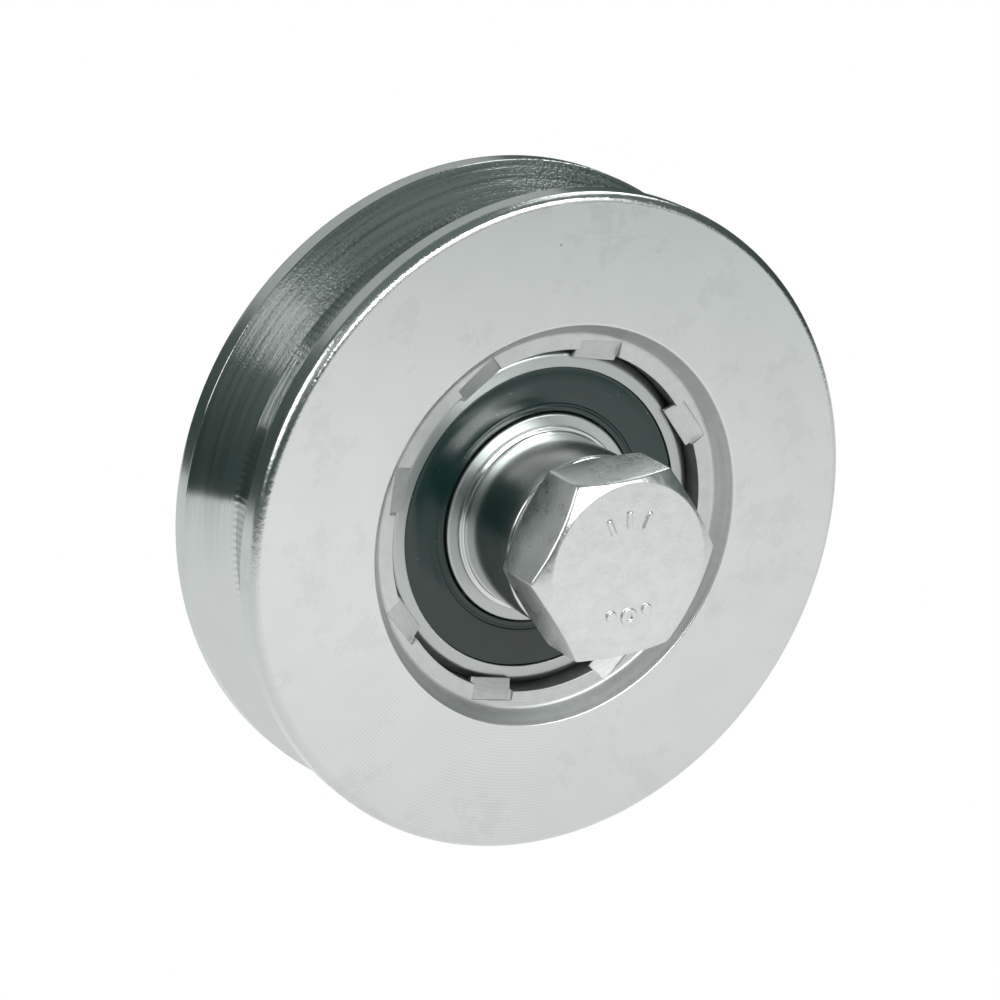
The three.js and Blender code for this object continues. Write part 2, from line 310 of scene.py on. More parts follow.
    def finish(self, sockets: Mapping[str, object]) -> bpy.types.Material:
        """Ends the tree with a Principled shader.

        Args:
            sockets: The shader's values and links.

        Returns:
            The finished material.
        """
        shader = self.add("ShaderNodeBsdfPrincipled", {}, sockets)
        self.add("ShaderNodeOutputMaterial", {}, {"Surface": shader})
        return self.owner


@dataclass(frozen=True)
class TurnedSteel:
    """Plated or ground steel that shows the lines of its turning about the axle.

    Attributes:
        name: The material's name.
        tint: The metal's reflected colour.
        roughness: How far it blurs a reflection.
        feed: The spacing of the turning lines, in millimetres.
        line_depth: The depth of the turning lines.
        grain_depth: The depth of the plating's fine grain.
        specks: The share of cells that hold a small nick or speck.
    """

    name: str
    tint: tuple[float, float, float] = (0.66, 0.68, 0.674)
    roughness: float = 0.19
    feed: float = 0.42
    line_depth: float = 0.0010 * MM
    grain_depth: float = 0.0014 * MM
    specks: float = 0.02

    def build(self) -> bpy.types.Material:
        """Builds the material."""
        board = Board.of_material(self.name)
        place = board.place()
        radius = (place[0] * place[0] + place[2] * place[2]).math("SQRT")
        around = board.vector(*place)
        waves = (board.noise(around, 0.05) * 0.8 + (radius + place[1]) * (1 / self.feed)) * FULL_TURN
        waves = waves.math("SINE")
        drift = board.noise(board.vector(radius, place[1], 0.02 * (place[0] + place[2])), 2.4, 3.0, 0.6)
        cloud = board.noise(around, 0.16, 3.0)
        grain = board.noise(around, 5.0, 4.0, 0.65)
        nicks = board.specks(around, 0.35, self.specks, 0.10)
        coarse = board.bump(grain, self.grain_depth)
        waves = waves * (0.35 + 0.75 * place[2].above(12.0, -24.0))
        look = Look(
            shade=0.92 + 0.1 * cloud + 0.03 * waves - 0.35 * nicks,
            roughness=self.roughness * (0.8 + 0.4 * cloud) + 0.05 * (grain - 0.5),
            normal=board.bump(0.5 * waves + drift, self.line_depth, coarse))
        look = self.zones(board, place, radius, look)
        colour = board.blend(look.shade, BLACK, self.tint)
        return board.finish({
            "Base Color": colour, "Metallic": 1.0, "Roughness": look.roughness, "Normal": look.normal})

    def zones(self, board: Board, place: tuple[Wire, Wire, Wire], radius: Wire, look: "Look") -> "Look":
        """Changes the look on the parts of a piece that were finished in another way.

        Args:
            board: The material's board.
            place: The place on the piece, in millimetres.
            radius: The distance from the axle, in millimetres.
            look: The look of the whole piece.

        Returns:
            The look with its zones, which for plain pieces is the look itself.
        """
        return look


@dataclass
class Look:
    """What varies over a metal: how bright and how rough it is, and its normal."""

    shade: Wire
    roughness: Wire
    normal: Wire


@dataclass(frozen=True)
class WheelZinc(TurnedSteel):
    """The wheel's zinc plate: smoother in the groove, duller and darker in the recess, with painted shade
    round its seat.

    Attributes:
        tool_depth: The depth of the coarse tool lines on the groove's flanks.
        pimple_depth: The depth of the plating's pimple bumps on the flanks.
        ripple_depth: The depth of the chatter ripples on the groove's floor.
        recess_depth: The depth of the recess's uneven, handled surface.
        nick_depth: The depth of the nicks and dents along the outer edges.
    """

    tool_depth: float = 0.046 * MM
    pimple_depth: float = 0.055 * MM
    ripple_depth: float = 0.0022 * MM
    recess_depth: float = 0.012 * MM
    nick_depth: float = 0.060 * MM

    def zones(self, board: Board, place: tuple[Wire, Wire, Wire], radius: Wire, look: Look) -> Look:
        """Works the groove's flanks, the recess and the bearing seat in their own ways, with painted
        reflection speckle on the flanks' upper part and painted shade on the seat.
        """
        x, y, z = place
        around = board.vector(x, y, z)
        groove = y.math("ABSOLUTE").above(8.1, 7.9) * radius.above(30.0, 31.0)
        recess = radius.above(27.7, 27.3)
        # The wall of the bearing seat, which is darkened below as painted shade.
        seat = radius.above(23.75, 23.6) * self.facing_axle(board, place, radius)
        floor = radius.above(40.6, 40.1) * groove
        tool = board.noise(board.vector(0.85 * radius, 0.85 * y, 0.02 * (x + z)), 1.0, 3.5, 0.62)
        fine = board.noise(board.vector(2.6 * radius, 2.6 * y, 0.02 * (x + z)), 1.0, 3.0, 0.7)
        patch = board.noise(around, 0.06).above(0.40, 0.58)
        ripples = (z.math("ARCTAN2", x) * 260).math("SINE") * floor * patch
        # Random pimples: a bump on the upper flanks, and there also a painted speckle that stands in for
        # speckled reflections.
        pimples_and_painted_speckle = (board.noise(around, 2.6, 3.0, 0.6) - 0.5) * z.above(16.0, 38.0) * (0.4 + patch)
        smudge = board.noise(around, 0.13, 5.0, 0.7).above(0.53, 0.62) * (1 - groove) * (1 - recess)
        rings = board.noise(board.vector(1.7 * radius, 1.7 * y, 0.02 * (x + z)), 1.0, 3.0, 0.6)
        handled = board.noise(around, 1.1, 4.0, 0.6) + 3.5 * rings * radius.above(25.8, 26.1)
        normal = board.bump((tool + 0.3 * fine) * groove, self.tool_depth, look.normal)
        normal = board.bump(pimples_and_painted_speckle * groove, self.pimple_depth, normal)
        normal = board.bump(ripples, self.ripple_depth, normal)
        edge = radius.above(43.5, 44.1) * y.math("ABSOLUTE").above(10.3, 10.7)
        normal = board.bump(board.noise(around, 1.3, 4.0, 0.7) * edge, self.nick_depth, normal)
        normal = board.bump(handled * recess, self.recess_depth, normal)
        # Painted shade: the seat's wall, in the gap between the wheel and the bearing, is darkened; the
        # recess is darker on average, with random mottling.
        recess_mottle_and_seat_shade = recess * (0.20 * board.noise(around, 0.8, 3.0) - 0.06) + 0.52 * seat + 0.05 * recess
        # Painted reflection speckle: tool-line and pimple tone only on the groove's upper part, which is
        # also painted 0.06 darker; the lines and pimples are real marks.
        lines = z.above(-6.0, 16.0) * (0.9 * (tool - 0.5) + 0.8 * (fine - 0.5) - 0.06)
        marks_and_painted_speckle = groove * (lines + 1.3 * pimples_and_painted_speckle) + 0.16 * ripples - 0.045 * smudge
        rough = look.roughness - 0.085 * groove + 0.32 * recess
        return Look(look.shade - recess_mottle_and_seat_shade + marks_and_painted_speckle, rough, normal)

    @staticmethod
    def facing_axle(board: Board, place: tuple[Wire, Wire, Wire], radius: Wire) -> Wire:
        """A mask of the surfaces that face the axle squarely."""
        normal = board.add("ShaderNodeTexCoord", {}, {}, "Normal")
        split = board.add("ShaderNodeSeparateXYZ", {}, {"Vector": normal}).socket.node
        outward = Wire(board, split.outputs["X"]) * place[0] + Wire(board, split.outputs["Z"]) * place[2]
        return (outward / radius).above(-0.80, -0.95)


@dataclass(frozen=True)
class HandledZinc:
    """Zinc plate on a forged hexagon, with scuffs from handling.

    Attributes:
        name: The material's name.
        tint: The metal's reflected colour.
        roughness: How far it blurs a reflection.
        scuff_depth: The depth of its scuffs and fine scratches.
    """

    name: str
    tint: tuple[float, float, float] = (0.75, 0.77, 0.762)
    roughness: float = 0.30
    scuff_depth: float = 0.005 * MM

    def build(self) -> bpy.types.Material:
        """Builds the material."""
        board = Board.of_material(self.name)
        x, y, z = board.place()
        around = board.vector(x, y, z)
        drawn = board.vector(x + 0.8 * z, 0.18 * y, z - 0.8 * x)
        slanted = board.vector(1.4 * (y + 0.6 * z), 0.14 * (z - 0.6 * y), 0.2 * x)
        mottle = board.noise(around, 0.55, 4.0, 0.6)
        scratch = board.noise(drawn, 2.2, 5.0, 0.75) + 0.7 * board.noise(slanted, 2.0, 4.0, 0.7)
        grain = board.noise(around, 3.4, 4.0, 0.7)
        pits = board.specks(around, 1.1, 0.25, 0.12)
        shade = 0.76 + 0.24 * mottle + 0.14 * (scratch - 0.85) + 0.14 * (grain - 0.5) - 0.2 * pits
        colour = board.blend(shade, BLACK, self.tint)
        rough = self.roughness * (0.6 + 0.8 * mottle)
        coarse = board.bump(mottle, 16 * self.scuff_depth)
        fine = board.bump(grain, 3.2 * self.scuff_depth, coarse)
        normal = board.bump(scratch - 0.6 * pits, 1.4 * self.scuff_depth, fine)
        sockets = {"Base Color": colour, "Metallic": 1.0, "Roughness": rough, "Normal": normal}
        return board.finish(sockets)


@dataclass(frozen=True)
class SheetSteel:
    """Bare pressed or polished steel inside the bearing.

    Attributes:
        name: The material's name.
        tint: The metal's reflected colour.
        roughness: How far it blurs a reflection.
        centre: The pattern's centre, in metres.
    """

    name: str
    tint: tuple[float, float, float] = (0.50, 0.51, 0.50)
    roughness: float = 0.34
    centre: tuple[float, float, float] = (0.0, 0.0, 0.0)

    def build(self) -> bpy.types.Material:
        """Builds the material."""
        board = Board.of_material(self.name)
        place = board.vector(*board.place(Vector(self.centre)))
        cloud = board.noise(place, 0.5, 3.0)
        grain = board.noise(place, 7.0, 3.0, 0.6)
        colour = board.blend(0.88 + 0.16 * cloud, BLACK, self.tint)
        rough = self.roughness * (0.75 + 0.5 * cloud)
        normal = board.bump(grain, 0.0006 * MM)
        sockets = {"Base Color": colour, "Metallic": 1.0, "Roughness": rough, "Normal": normal}
        return board.finish(sockets)


@dataclass(frozen=True)
class SealRubber:
    """Satin moulded rubber with a little dust, whose pale specks are partly painted glints.

    Attributes:
        name: The material's name.
        shade: The rubber's own colour.
        dust: The colour of its dust and of the marks of handling, which also serve as painted glints.
        roughness: How far it blurs a reflection.
    """

    name: str
    shade: tuple[float, float, float] = (0.001, 0.014, 0.011)
    dust: tuple[float, float, float] = (0.42, 0.46, 0.45)
    roughness: float = 0.21

    def build(self) -> bpy.types.Material:
        """Builds the material."""
        board = Board.of_material(self.name)
        x, y, z = board.place()
        around = board.vector(x, y, z)
        cloud = board.noise(around, 0.35, 3.0)
        grain = board.noise(around, 6.0, 2.0)
        # Pale specks: partly dust, partly painted glints.
        dust_and_painted_glints = board.specks(around, 1.5, 0.10, 0.11)
        lighter = tuple(1.7 * c for c in self.shade)
        body = board.blend(cloud, self.shade, lighter)
        sockets = {"Factor_Float": dust_and_painted_glints, "A_Color": body, "B_Color": self.dust}
        colour = board.add("ShaderNodeMix", {"data_type": "RGBA"}, sockets, "Result_Color")
        rough = self.roughness * (0.85 + 0.3 * cloud) + 0.3 * dust_and_painted_glints
        normal = board.bump(grain, 0.0015 * MM)
        return board.finish({
            "Base Color": colour, "Roughness": rough, "Normal": normal, "Specular IOR Level": 0.65})


class Finishes:
    """The finishes of the whole object, each built once."""

    def __init__(self) -> None:
        """Builds every finish."""
        self.wheel = WheelZinc("wheel_zinc").build()
        self.bush = TurnedSteel(
            "bush_zinc", roughness=0.18, feed=0.2, specks=0.01, grain_depth=0.003 * MM).build()
        self.washer = TurnedSteel("washer_zinc", roughness=0.30, feed=0.6).build()
        self.ring = TurnedSteel(
            "ring_steel", tint=(0.48, 0.51, 0.50), roughness=0.34, feed=0.16, specks=0.01,
            grain_depth=0.004 * MM).build()
        self.bolt = HandledZinc("bolt_zinc").build()
        self.cage = SheetSteel("cage_steel").build()
        self.seal = SealRubber("seal_rubber").build()


# ---- Meshes -----------------------------------------------------------------------------------


@dataclass(frozen=True)
class Corner:
    """One corner of a turned outline.

    Attributes:
        radius: Its distance from the axle.
        along: Its place along the axle.
        ease: How far from the corner its rounding starts, or 0 for a sharp corner.
        segments: The number of faces of the rounding.
    """

    radius: float
    along: float
    ease: float = 0.0
    segments: int = 6

    def at_end(self, side: Side) -> "Corner":
        """The same corner at one end of the axle, for an outline drawn at the nut's end."""
        return Corner(self.radius, self.along * side.value, self.ease, self.segments)


def ease_corners(bm: bmesh.types.BMesh, corners: Sequence[Corner], verts: Sequence) -> None:
    """Rounds the corners of an outline.

    Args:
        bm: The mesh that holds the outline.
        corners: The outline's corners.
        verts: The vertex of each corner.
    """
    for corner, vert in zip(corners, verts):
        if corner.ease:
            bmesh.ops.bevel(
                bm, geom=[vert], offset=corner.ease, offset_type="OFFSET", segments=corner.segments,
                profile=0.5, affect="VERTICES", material=-1)


def hold_flats(bm: bmesh.types.BMesh) -> None:
    """Adds a point close to both ends of an outline's long lines, which keeps their faces flat.

    Args:
        bm: The mesh that holds the outline.
    """
    for edge in [e for e in bm.edges if e.calc_length() > 4 * HOLD]:
        first, last = edge.verts
        _, near_first = bmesh.utils.edge_split(edge, first, HOLD / edge.calc_length())
        rest = [e for e in near_first.link_edges if last in e.verts][0]
        bmesh.utils.edge_split(rest, last, HOLD / rest.calc_length())


def turn(corners: Sequence[Corner], steps: int, closed: bool = True) -> bmesh.types.BMesh:
    """Turns an outline about the axle.

    Args:
        corners: The outline's corners. An open outline starts and ends on the axle.
        steps: The number of faces round a full turn.
        closed: Whether the outline closes on itself.

    Returns:
        The turned solid.
    """
    bm = bmesh.new()
    verts = [bm.verts.new((corner.radius, corner.along, 0.0)) for corner in corners]
    following = [*verts[1:], verts[0]] if closed else verts[1:]
    for first, second in zip(verts, following):
        bm.edges.new((first, second))
    ease_corners(bm, corners, verts)
    hold_flats(bm)
    bmesh.ops.spin(
        bm, geom=bm.verts[:] + bm.edges[:], cent=(0, 0, 0), axis=AXLE, dvec=(0, 0, 0),
        angle=FULL_TURN, steps=steps, use_merge=True, use_duplicate=False)
    return tidied(bm)


def tidied(bm: bmesh.types.BMesh) -> bmesh.types.BMesh:
    """Merges doubles and turns the faces outwards."""
    bmesh.ops.remove_doubles(bm, verts=bm.verts[:], dist=MERGE)
    bmesh.ops.recalc_face_normals(bm, faces=bm.faces[:])
    return bm


def round_the_axle(degrees: float) -> Matrix:
    """A turn about the axle, from +X towards +Z."""
    return Matrix.Rotation(-math.radians(degrees), 4, "Y")


class Piece:
    """A finished object, on its body, with its finish."""

    def __init__(self, name: str, body: str, slot: str, finish: bpy.types.Material) -> None:
        """Says what the piece is.

        Args:
            name: The piece's name.
            body: The body that it rides on.
            slot: The name of a material slot; it is kept but not used.
            finish: Its material.
        """
        self.name = name
        self.body = body
        self.slot = slot
        self.finish = finish

    def show(self, bm: bmesh.types.BMesh, *nodes: str) -> bpy.types.Object:
        """Makes the object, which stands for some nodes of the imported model.

        Args:
            bm: The piece's mesh.
            nodes: The nodes that it stands for.

        Returns:
            The object.
        """
        piece = as_object(bm, self.name)
        piece.data.materials.append(self.finish)
        piece.data.shade_smooth()
        piece.data.set_sharp_from_angle(angle=SMOOTH_BELOW)
        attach(piece, self.body)
        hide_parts(*nodes)
        LOG.info("%s rides on %s: %d faces", self.name, self.body, len(piece.data.polygons))
        return piece


def as_object(bm: bmesh.types.BMesh, name: str) -> bpy.types.Object:
    """An object with this mesh, at the origin, in the scene."""
    mesh = bpy.data.meshes.new(name)
    bm.to_mesh(mesh)
    bm.free()
    made = bpy.data.objects.new(name, mesh)
    bpy.context.scene.collection.objects.link(made)
    return made


def cut(body: bmesh.types.BMesh, tools: Sequence[bmesh.types.BMesh], operation: str) -> bmesh.types.BMesh:
    """Joins solids to a body or cuts them from it, one after the other.

    Args:
        body: The body.
        tools: The solids.
        operation: The Boolean modifier's operation.

    Returns:
        The new body.
    """
    target = as_object(body, "body")
    for number, tool in enumerate(tools):
        cutter = as_object(tool, f"tool_{number}")
        modifier = target.modifiers.new("join", "BOOLEAN")
        modifier.operation = operation
        modifier.solver = "EXACT"
        modifier.object = cutter
        held = bpy.context.evaluated_depsgraph_get()
        made = bpy.data.meshes.new_from_object(target.evaluated_get(held))
        target.modifiers.clear()
        target.data = made
        bpy.data.objects.remove(cutter)
    bm = bmesh.new()
    bm.from_mesh(target.data)
    bpy.data.objects.remove(target)
    bmesh.ops.remove_doubles(bm, verts=bm.verts[:], dist=MERGE)
    return bm


def block(low: Vector, high: Vector, ease: float, place: Matrix) -> bmesh.types.BMesh:
    """A box with eased edges.

    Args:
        low: Its lowest corner, before it is placed.
        high: Its highest corner, before it is placed.
        ease: The width of its eased edges.
        place: The place that it is moved to.

    Returns:
        The box.
    """
    bm = bmesh.new()
    bmesh.ops.create_cube(bm, size=1.0)
    bmesh.ops.scale(bm, vec=high - low, verts=bm.verts[:])
    bmesh.ops.translate(bm, vec=(low + high) / 2, verts=bm.verts[:])
    if ease:
        bmesh.ops.bevel(
            bm, geom=bm.edges[:], offset=ease, segments=2, profile=0.5, affect="EDGES", material=-1)
    bmesh.ops.transform(bm, matrix=place, verts=bm.verts[:])
    bmesh.ops.recalc_face_normals(bm, faces=bm.faces[:])
    return bm


# ---- Wheel ------------------------------------------------------------------------------------


@dataclass
class Wheel:
    """The grooved wheel body, staked over its bearing at the bolt head's side."""

    finishes: Finishes
    steps: int = 288
    flange_land: float = 3.5 * MM
    groove_depth: float = 5.0 * MM
    edge_round: float = 1.35 * MM
    seat_radius: float = 23.53 * MM
    seat_rim: float = 2.3 * MM
    seat_overrun: float = 2.0 * MM
    recess_flare: float = 1.7 * MM
    shoulder_height: float = 1.9 * MM
    shoulder_gap: float = 0.05 * MM
    stake_count: int = 8
    stake_first_angle: float = 25.0
    stake_width: float = 6.4 * MM
    stake_reach: float = 1.30 * MM
    stake_toe_height: float = 0.78 * MM
    stake_margin: float = 0.2 * MM
    stake_thickness: float = 0.66 * MM
    stake_ease: float = 0.16 * MM
    stake_length_share: float = 0.86
    stake_skew: float = -12.0
    seed: int = 7

    def __post_init__(self) -> None:
        """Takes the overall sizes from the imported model."""
        low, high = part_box("wheel_body")
        self.rim = high.x
        self.face = high.y
        self.ring_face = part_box("bearing_outer_ring")[1].y
        self.recess_floor = self.ring_face + self.seat_overrun
        self.floor_radius = self.seat_radius + self.seat_rim

    def rim_corners(self, side: Side) -> list[Corner]:
        """The outline of half of the grooved rim, from the groove's floor to the face."""
        mouth = self.face - self.flange_land
        corners = [
            Corner(self.rim - self.groove_depth, mouth - self.groove_depth),
            Corner(self.rim, mouth),
            Corner(self.rim, self.face, self.edge_round, 10),
            Corner(self.floor_radius + self.recess_flare, self.face, 0.18 * MM),
            Corner(self.floor_radius, self.recess_floor, 0.35 * MM),
        ]
        return [corner.at_end(side) for corner in corners]

    def blank(self) -> bmesh.types.BMesh:
        """The turned wheel before it is staked."""
        shoulder_radius = self.seat_radius - self.shoulder_height
        shoulder = self.ring_face + self.shoulder_gap
        outline = [
            *reversed(self.rim_corners(Side.HEAD)),
            *self.rim_corners(Side.NUT),
            Corner(shoulder_radius, self.recess_floor, 0.25 * MM),
            Corner(shoulder_radius, shoulder),
            Corner(self.seat_radius, shoulder),
            Corner(self.seat_radius, -self.recess_floor, 0.12 * MM),
        ]
        return turn(outline, self.steps)

    def stake_place(self, number: int, chance: random.Random) -> tuple[Matrix, float]:
        """Where one stake's punch struck.

        Args:
            number: The stake's number.
            chance: The source of its small unevenness.

        Returns:
            The place of the ramp's toe, with +X up the ramp, and the ramp's length.
        """
        toe = Vector((self.seat_radius - self.stake_reach, -(self.ring_face + self.stake_toe_height), 0.0))
        top = Vector((self.floor_radius - self.stake_margin, -self.recess_floor, 0.0))
        slope = math.atan2(top.y - toe.y, top.x - toe.x)
        angle = self.stake_first_angle + number * 360 / self.stake_count + chance.uniform(-2.0, 2.0)
        skew = math.radians(self.stake_skew * chance.uniform(0.6, 1.4))
        place = round_the_axle(angle) @ Matrix.Translation(toe) @ Matrix.Rotation(slope, 4, "Z")
        return place @ Matrix.Rotation(skew, 4, "Y"), (top - toe).length

    def build(self) -> bpy.types.Object:
        """Builds the staked wheel."""
        chance = random.Random(self.seed)
        marks, tongues = [], []
        half = self.stake_width / 2
        for number in range(self.stake_count):
            place, length = self.stake_place(number, chance)
            length *= self.stake_length_share
            marks.append(block(
                Vector((0, -self.seat_overrun, -half)), Vector((length, 0, half)), self.stake_ease, place))
            tongues.append(block(
                Vector((0, 0, -half)), Vector((2 * self.stake_reach, self.stake_thickness, half)),
                self.stake_ease, place))
        bm = cut(cut(self.blank(), marks, "DIFFERENCE"), tongues, "UNION")
        piece = Piece("wheel", "wheel", "wheel_zinc", self.finishes.wheel)
        return piece.show(bm, "wheel_body")


# ---- Bearing ----------------------------------------------------------------------------------


@dataclass
class Bearing:
    """The sealed deep-groove ball bearing."""

    finishes: Finishes
    steps: int = 192
    chamfer: float = 1.1 * MM
    edge_break: float = 0.3 * MM
    ball_count: int = 8
    race_gap: float = 0.16 * MM
    outer_race_depth: float = 1.2 * MM
    inner_race_depth: float = 1.7 * MM
    seal_seat_step: float = 1.0 * MM
    seal_seat_depth: float = 1.8 * MM
    race_segments: int = 14

    def __post_init__(self) -> None:
        """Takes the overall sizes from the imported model."""
        self.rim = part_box("bearing_outer_ring")[1].x
        self.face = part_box("bearing_outer_ring")[1].y
        ball_low, ball_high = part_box("ball_1")
        self.ball_radius = (ball_high.x - ball_low.x) / 2
        self.pitch = (ball_high.x + ball_low.x) / 2
        self.race = self.ball_radius + self.race_gap
        self.outer_shoulder = self.pitch + self.race - self.outer_race_depth
        self.inner_shoulder = self.pitch - self.race + self.inner_race_depth
        self.seal_seat = self.outer_shoulder + self.seal_seat_step

    def raceway(self, shoulder: float, side: int) -> list[Corner]:
        """The arc of a raceway, from its nut end to its head end.

        Args:
            shoulder: The radius of the shoulders beside it.
            side: 1 for the outer ring and -1 for the inner one.

        Returns:
            The arc's points.
        """
        spread = math.acos(abs(shoulder - self.pitch) / self.race)
        angles = [spread * (1 - 2 * i / self.race_segments) for i in range(self.race_segments + 1)]
        return [
            Corner(self.pitch + side * self.race * math.cos(a), self.race * math.sin(a)) for a in angles]

    def outer_ring(self) -> bpy.types.Object:
        """Builds the outer ring."""
        step = self.face - self.seal_seat_depth
        end = [
            Corner(self.rim, self.face - self.chamfer, 0.35 * MM),
            Corner(self.rim - self.chamfer, self.face, 0.35 * MM),
            Corner(self.seal_seat, self.face, 0.08 * MM),
            Corner(self.seal_seat, step),
            Corner(self.outer_shoulder, step, 0.1 * MM),
        ]
        outline = [
            *end,
            *self.raceway(self.outer_shoulder, 1)[1:-1],
            *[corner.at_end(Side.HEAD) for corner in reversed(end)],
        ]
        piece = Piece("outer_ring", "wheel", "ring_steel", self.finishes.ring)
        return piece.show(turn(outline, self.steps), "bearing_outer_ring")

    def inner_ring(self) -> bpy.types.Object:
        """Builds the inner ring."""
        bore = self.rim * 20 / 47
        end = [
            Corner(bore, self.face - self.chamfer, 0.3 * MM),
            Corner(bore + self.chamfer, self.face, 0.3 * MM),
            Corner(self.inner_shoulder, self.face, self.edge_break),
        ]
        outline = [
            *end,
            *self.raceway(self.inner_shoulder, -1),
            *[corner.at_end(Side.HEAD) for corner in reversed(end)],
        ]
        piece = Piece("inner_ring", "axle", "ring_steel", self.finishes.ring)
        return piece.show(turn(outline, self.steps), "bearing_inner_ring")

    def balls(self) -> list[bpy.types.Object]:
        """Builds the balls, each about its own centre."""
        made = []
        for number in range(1, self.ball_count + 1):
            node = f"ball_{number}"
            low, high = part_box(node)
            centre = (low + high) / 2
            bm = bmesh.new()
            bmesh.ops.create_icosphere(
                bm, subdivisions=4, radius=self.ball_radius, matrix=Matrix.Translation(centre))
            finish = SheetSteel(
                f"ball_steel_{number}", tint=(0.72, 0.73, 0.73), roughness=0.06, centre=tuple(centre))
            piece = Piece(f"bearing_ball_{number}", node, "ball_steel", finish.build())
            made.append(piece.show(bm, node))
        return made

    def build(self) -> None:
        """Builds the rings and the balls."""
        self.outer_ring()
        self.inner_ring()
        self.balls()


@dataclass
class Cage:
    """The riveted ribbon cage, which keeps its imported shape, and its rivets."""

    finishes: Finishes
    rivet_count: int = 8
    steps: int = 32

    def rivet(self, number: int) -> bpy.types.Object:
        """Builds one rivet with two domed heads.

        Args:
            number: The rivet's number.

        Returns:
            The rivet.
        """
        node = f"cage_rivet_{number}"
        low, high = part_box(node)
        centre = (low + high) / 2
        end = [
            Corner(0.6 * MM, 0.75 * MM),
            Corner(1.1 * MM, 0.75 * MM, 0.08 * MM),
            Corner(0.75 * MM, high.y, 0.2 * MM),
            Corner(0.0, high.y),
        ]
        outline = [*reversed([c.at_end(Side.HEAD) for c in end]), *end]
        bm = turn(outline, self.steps, closed=False)
        bmesh.ops.translate(bm, vec=(centre.x, 0, centre.z), verts=bm.verts[:])
        return Piece(f"rivet_{number}", "cage", "cage_steel", self.finishes.cage).show(bm, node)

    def build(self) -> None:
        """Dresses the cage's halves and builds the rivets."""
        for node in ("cage_front", "cage_rear"):
            dress_node(node, self.finishes.cage)
        for number in range(1, self.rivet_count + 1):
            self.rivet(number)


def dress_node(node: str, finish: bpy.types.Material) -> None:
    """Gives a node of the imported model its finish.

    Args:
        node: The node.
        finish: Its material.
    """
    mesh_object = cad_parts[node]
    mesh_object.data.materials.clear()
    mesh_object.data.materials.append(finish)
    LOG.info("%s keeps its packed shape", node)


@dataclass
class Seal:
    """One rubber seal with its steel insert."""

    finishes: Finishes
    side: Side
    steps: int = 192
    lip_width: float = 1.1 * MM
    lip_step: float = 0.3 * MM
    crown: float = 0.10 * MM
    lip_line: float = 0.12 * MM

    @property
    def place(self) -> str:
        """The seal's place in a node's name."""
        return "front" if self.side is Side.HEAD else "rear"

    def rubber(self) -> bpy.types.Object:
        """Builds the rubber, with its crowned face and the two rings of its lip."""
        node = f"seal_{self.place}"
        low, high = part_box(node)
        outer = high.x
        inner = Bearing(self.finishes).inner_shoulder + 0.15 * MM
        face = max(abs(low.y), abs(high.y))
        back = min(abs(low.y), abs(high.y))
        step = inner + self.lip_width
        outline = [
            Corner(outer, back, 0.1 * MM),
            Corner(outer, face - 0.12 * MM, 0.1 * MM),
            Corner(outer - 0.35 * MM, face - 0.14 * MM, 0.1 * MM),
            Corner(outer - 1.2 * MM, face, 0.9 * MM),
            Corner(step + 0.9 * MM, face, 0.6 * MM),
            Corner(step + 0.12 * MM, face - self.crown, 0.08 * MM),
            Corner(step, face - self.lip_step, 0.06 * MM),
            Corner(step - 0.25 * MM, face - self.lip_step, 0.05 * MM),
            Corner(step - 0.35 * MM, face - self.lip_step + self.lip_line, 0.05 * MM),
            Corner(inner + 0.15 * MM, face - self.lip_step + self.lip_line, 0.1 * MM),
            Corner(inner, face - self.lip_step - 0.1 * MM, 0.05 * MM),
            Corner(inner, back),
        ]
        bm = turn([corner.at_end(self.side) for corner in outline], self.steps)
        return Piece(f"rubber_{self.place}", "wheel", "seal_rubber", self.finishes.seal).show(bm, node)

    def insert(self) -> bpy.types.Object:
        """Builds the pressed ring that stiffens the seal."""
        node = f"seal_{self.place}_insert"
        low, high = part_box(node)
        face = max(abs(low.y), abs(high.y))
        back = min(abs(low.y), abs(high.y))
        inner = Bearing(self.finishes).inner_shoulder + 0.9 * MM
        ease = 0.08 * MM
        outline = [
            Corner(inner, back, ease), Corner(high.x, back, ease),
            Corner(high.x, face, ease), Corner(inner, face, ease)]
        bm = turn([corner.at_end(self.side) for corner in outline], self.steps)
        name = f"insert_{self.place}"
        return Piece(name, "wheel", "cage_steel", self.finishes.cage).show(bm, node)

    def build(self) -> None:
        """Builds the rubber and its insert."""
        self.rubber()
        self.insert()


# ---- Axle -------------------------------------------------------------------------------------


